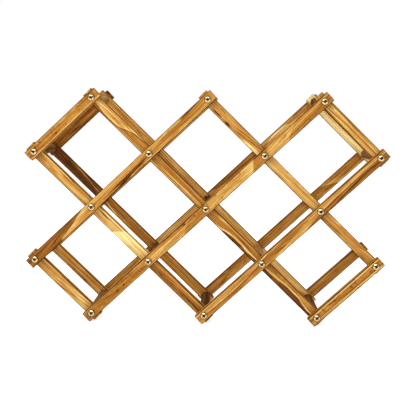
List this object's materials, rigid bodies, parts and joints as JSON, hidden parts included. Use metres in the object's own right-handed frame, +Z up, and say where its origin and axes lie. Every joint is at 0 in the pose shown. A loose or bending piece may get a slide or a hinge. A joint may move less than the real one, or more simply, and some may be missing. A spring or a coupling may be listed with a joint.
{
  "type": "folding wine rack",
  "caption": "Folding lattice wine rack: wooden slats crossed as scissors in front and behind, held apart by round spacers and screwed pivots.",
  "frame": {"origin": "on the table under the middle of the rack, at mid depth", "axes": "+X along the rack, +Y from front to rear, +Z up"},
  "size_m": [0.4362, 0.121, 0.2841],
  "materials": {
    "slat_wood": "satin-varnished two-tone hardwood, golden sapwood and brown heartwood",
    "spacer_wood": "dark stained turned wood",
    "screw_steel": "yellow zinc plated"
  },
  "bodies": {
    "base_spacer": {"spacer_e2": "spacer_wood", "front_screw_e2": "screw_steel", "rear_screw_e2": "screw_steel"},
    "rising_1": {"front_rising_slat_1": "slat_wood", "rear_rising_slat_1": "slat_wood"},
    "rising_2": {"front_rising_slat_2": "slat_wood", "rear_rising_slat_2": "slat_wood"},
    "rising_3": {"front_rising_slat_3": "slat_wood", "rear_rising_slat_3": "slat_wood"},
    "rising_4": {"front_rising_slat_4": "slat_wood", "rear_rising_slat_4": "slat_wood"},
    "rising_5": {"front_rising_slat_5": "slat_wood", "rear_rising_slat_5": "slat_wood"},
    "falling_1": {"front_falling_slat_1": "slat_wood", "rear_falling_slat_1": "slat_wood", "spacer_d1": "spacer_wood", "spacer_e1": "spacer_wood", "front_screws_falling_1": "screw_steel", "rear_screws_falling_1": "screw_steel"},
    "falling_2": {"front_falling_slat_2": "slat_wood", "rear_falling_slat_2": "slat_wood", "spacer_b1": "spacer_wood", "spacer_c1": "spacer_wood", "spacer_d2": "spacer_wood", "front_screws_falling_2": "screw_steel", "rear_screws_falling_2": "screw_steel"},
    "falling_3": {"front_falling_slat_3": "slat_wood", "rear_falling_slat_3": "slat_wood", "spacer_a1": "spacer_wood", "spacer_b2": "spacer_wood", "spacer_c2": "spacer_wood", "spacer_d3": "spacer_wood", "spacer_e3": "spacer_wood", "front_screws_falling_3": "screw_steel", "rear_screws_falling_3": "screw_steel"},
    "falling_4": {"front_falling_slat_4": "slat_wood", "rear_falling_slat_4": "slat_wood", "spacer_a2": "spacer_wood", "spacer_b3": "spacer_wood", "spacer_c3": "spacer_wood", "spacer_d4": "spacer_wood", "front_screws_falling_4": "screw_steel", "rear_screws_falling_4": "screw_steel"},
    "falling_5": {"front_falling_slat_5": "slat_wood", "rear_falling_slat_5": "slat_wood", "spacer_a3": "spacer_wood", "spacer_b4": "spacer_wood", "front_screws_falling_5": "screw_steel", "rear_screws_falling_5": "screw_steel"}
  },
  "joints": [
    {"name": "fold", "type": "hinge", "parent": "base_spacer", "child": "rising_4", "pos_m": [0, 0, 0.01125], "axis": [0, -1, 0], "range_deg": [-38.5, 41.5]},
    {"name": "pivot_e2", "type": "hinge", "parent": "base_spacer", "child": "falling_2", "pos_m": [0, 0, 0.01125], "axis": [0, -1, 0], "range_deg": [-41.5, 38.5]},
    {"name": "pivot_d3", "type": "hinge", "parent": "rising_4", "child": "falling_3", "pos_m": [0.06891, 0, 0.07665], "axis": [0, -1, 0], "range_deg": [-83, 77]},
    {"name": "pivot_c3", "type": "hinge", "parent": "rising_4", "child": "falling_4", "pos_m": [0.13782, 0, 0.14204], "axis": [0, -1, 0], "range_deg": [-83, 77]},
    {"name": "pivot_b4", "type": "hinge", "parent": "rising_4", "child": "falling_5", "pos_m": [0.20673, 0, 0.20744], "axis": [0, -1, 0], "range_deg": [-83, 77]},
    {"name": "pivot_d2", "type": "hinge", "parent": "falling_2", "child": "rising_3", "pos_m": [-0.06891, 0, 0.07665], "axis": [0, -1, 0], "range_deg": [-77, 83]},
    {"name": "pivot_c1", "type": "hinge", "parent": "falling_2", "child": "rising_2", "pos_m": [-0.13782, 0, 0.14204], "axis": [0, -1, 0], "range_deg": [-77, 83]},
    {"name": "pivot_b1", "type": "hinge", "parent": "falling_2", "child": "rising_1", "pos_m": [-0.20673, 0, 0.20744], "axis": [0, -1, 0], "range_deg": [-77, 83]},
    {"name": "pivot_e1", "type": "hinge", "parent": "rising_3", "child": "falling_1", "pos_m": [-0.13782, 0, 0.01125], "axis": [0, -1, 0], "range_deg": [-83, 77]},
    {"name": "pivot_e3", "type": "hinge", "parent": "falling_3", "child": "rising_5", "pos_m": [0.13782, 0, 0.01125], "axis": [0, -1, 0], "range_deg": [-77, 83]}
  ],
  "couplings": [
    {"joint": "pivot_e2", "follows": "fold", "ratio": -1},
    {"joint": "pivot_d3", "follows": "fold", "ratio": -2},
    {"joint": "pivot_c3", "follows": "fold", "ratio": -2},
    {"joint": "pivot_b4", "follows": "fold", "ratio": -2},
    {"joint": "pivot_d2", "follows": "fold", "ratio": 2},
    {"joint": "pivot_c1", "follows": "fold", "ratio": 2},
    {"joint": "pivot_b1", "follows": "fold", "ratio": 2},
    {"joint": "pivot_e1", "follows": "fold", "ratio": -2},
    {"joint": "pivot_e3", "follows": "fold", "ratio": 2}
  ]
}
